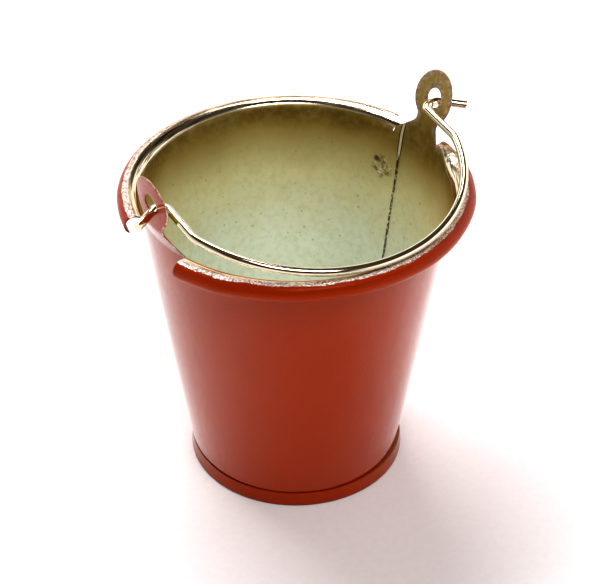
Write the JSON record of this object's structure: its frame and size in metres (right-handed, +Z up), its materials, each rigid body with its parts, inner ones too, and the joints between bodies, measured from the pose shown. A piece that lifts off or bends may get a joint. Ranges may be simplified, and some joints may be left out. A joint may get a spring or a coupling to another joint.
{
  "type": "miniature tin pail",
  "caption": "Small tapered tinplate pail with a rolled rim, ears on opposite sides, a lapped side seam, a pressed foot and a swinging wire bail.",
  "frame": {"origin": "on the ground, at the centre of the foot ring", "axes": "+Z up, X through both ears, -Y towards the side on which the bail rests"},
  "size_m": [0.0858, 0.076, 0.085],
  "materials": {
    "painted_tin": "red enamel outside, bare satin tin inside",
    "plated_wire": "bright nickel plate"
  },
  "bodies": {
    "pail": {"body_shell": "painted_tin", "bottom_cap": "painted_tin"},
    "bail": {"bail_wire": "plated_wire"}
  },
  "joints": [
    {"name": "bail_swing", "type": "hinge", "parent": "pail", "child": "bail", "pos_m": [0, 0, 0.07813], "axis": [-1, 0, 0], "range_deg": [0, 202.3]}
  ]
}
